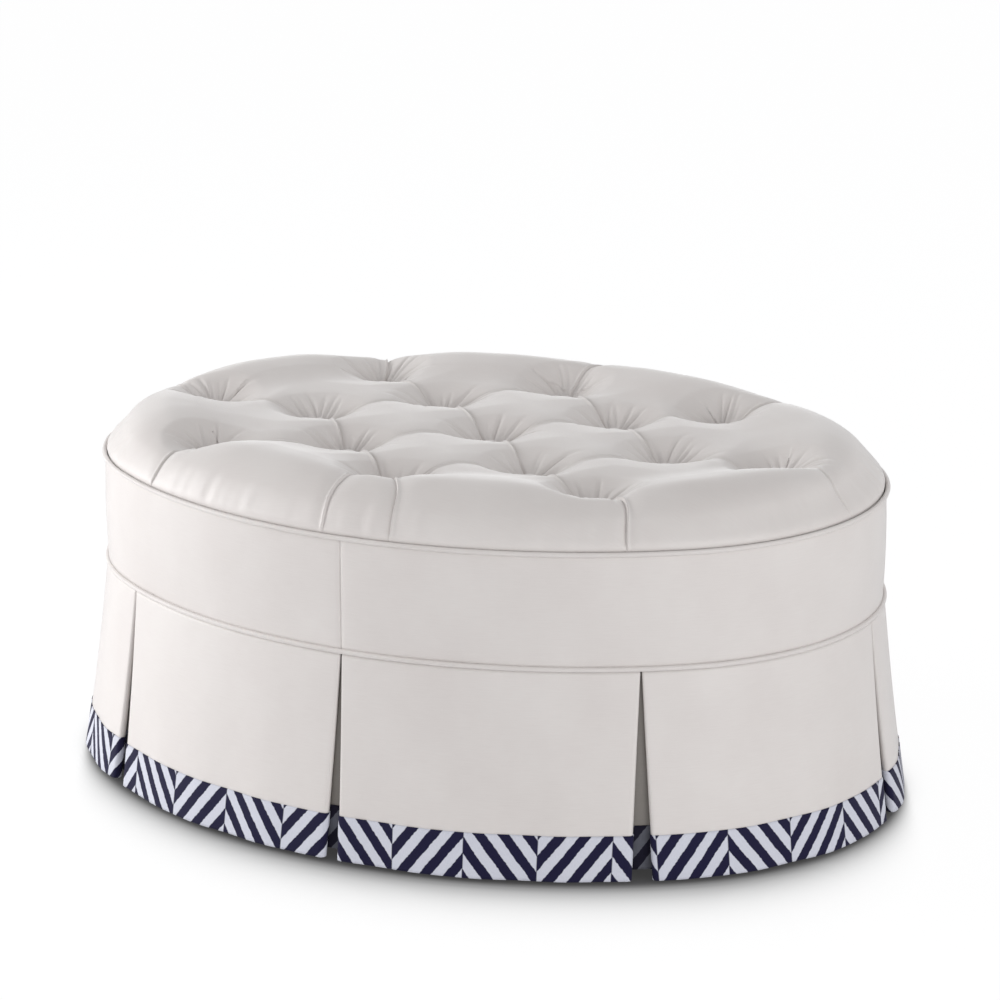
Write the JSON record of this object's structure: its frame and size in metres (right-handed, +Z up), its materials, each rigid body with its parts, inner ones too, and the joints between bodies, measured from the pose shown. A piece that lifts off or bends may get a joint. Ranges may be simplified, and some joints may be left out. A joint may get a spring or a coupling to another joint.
{
  "type": "ottoman",
  "caption": "Oval tufted ottoman with a boxed band between welts and a floor-length skirt with kick pleats and a woven tape at the hem.",
  "frame": {"origin": "on the floor, under the middle of the oval", "axes": "+X along the long way of the oval, +Y to the rear, +Z up"},
  "size_m": [1.0522, 0.81, 0.4451],
  "materials": {
    "frame_wood": "plain sanded plywood and pine",
    "fibreboard": "plain bent board",
    "foot_wood": "dark stained satin lacquer",
    "glide_plastic": "matte",
    "steel": "zinc plated",
    "wadding": "soft polyester wadding",
    "foam": "open-cell foam",
    "cover_cloth": "matte ivory cotton sateen",
    "welt_cloth": "matte ivory cotton sateen over cord",
    "hem_tape": "woven tape in navy and white chevron",
    "lining_cloth": "thin black non-woven cloth",
    "twine": "waxed tufting twine"
  },
  "bodies": {
    "root": {"backing_tapes": "hem_tape", "band_left": "cover_cloth", "band_padding": "wadding", "band_right": "cover_cloth", "bottom_ring": "frame_wood", "deck_board": "frame_wood", "deck_rail_left": "frame_wood", "deck_rail_right": "frame_wood", "dust_cover": "lining_cloth", "floor_glides": "glide_plastic", "foot_front_left": "foot_wood", "foot_front_right": "foot_wood", "foot_rear_left": "foot_wood", "foot_rear_right": "foot_wood", "frame_post_1": "frame_wood", "frame_post_2": "frame_wood", "frame_post_3": "frame_wood", "frame_post_4": "frame_wood", "frame_post_5": "frame_wood", "frame_post_6": "frame_wood", "frame_post_7": "frame_wood", "frame_post_8": "frame_wood", "hanger_bolts": "steel", "hem_tape_1": "hem_tape", "hem_tape_2": "hem_tape", "hem_tape_3": "hem_tape", "hem_tape_4": "hem_tape", "hem_tape_5": "hem_tape", "hem_tape_6": "hem_tape", "hem_tape_7": "hem_tape", "hem_tape_8": "hem_tape", "lower_welt": "welt_cloth", "pleat_backing_1": "cover_cloth", "pleat_backing_2": "cover_cloth", "pleat_backing_3": "cover_cloth", "pleat_backing_4": "cover_cloth", "pleat_backing_5": "cover_cloth", "pleat_backing_6": "cover_cloth", "pleat_backing_7": "cover_cloth", "pleat_backing_8": "cover_cloth", "seat_foam": "foam", "side_board_front": "fibreboard", "side_board_rear": "fibreboard", "skirt_panel_1": "cover_cloth", "skirt_panel_2": "cover_cloth", "skirt_panel_3": "cover_cloth", "skirt_panel_4": "cover_cloth", "skirt_panel_5": "cover_cloth", "skirt_panel_6": "cover_cloth", "skirt_panel_7": "cover_cloth", "skirt_panel_8": "cover_cloth", "tack_rail": "fibreboard", "tee_nuts": "steel", "tuft_buttons": "cover_cloth", "tuft_toggles": "glide_plastic", "tuft_twines": "twine", "tufted_top": "cover_cloth", "upper_welt": "welt_cloth"}
  },
  "joints": []
}
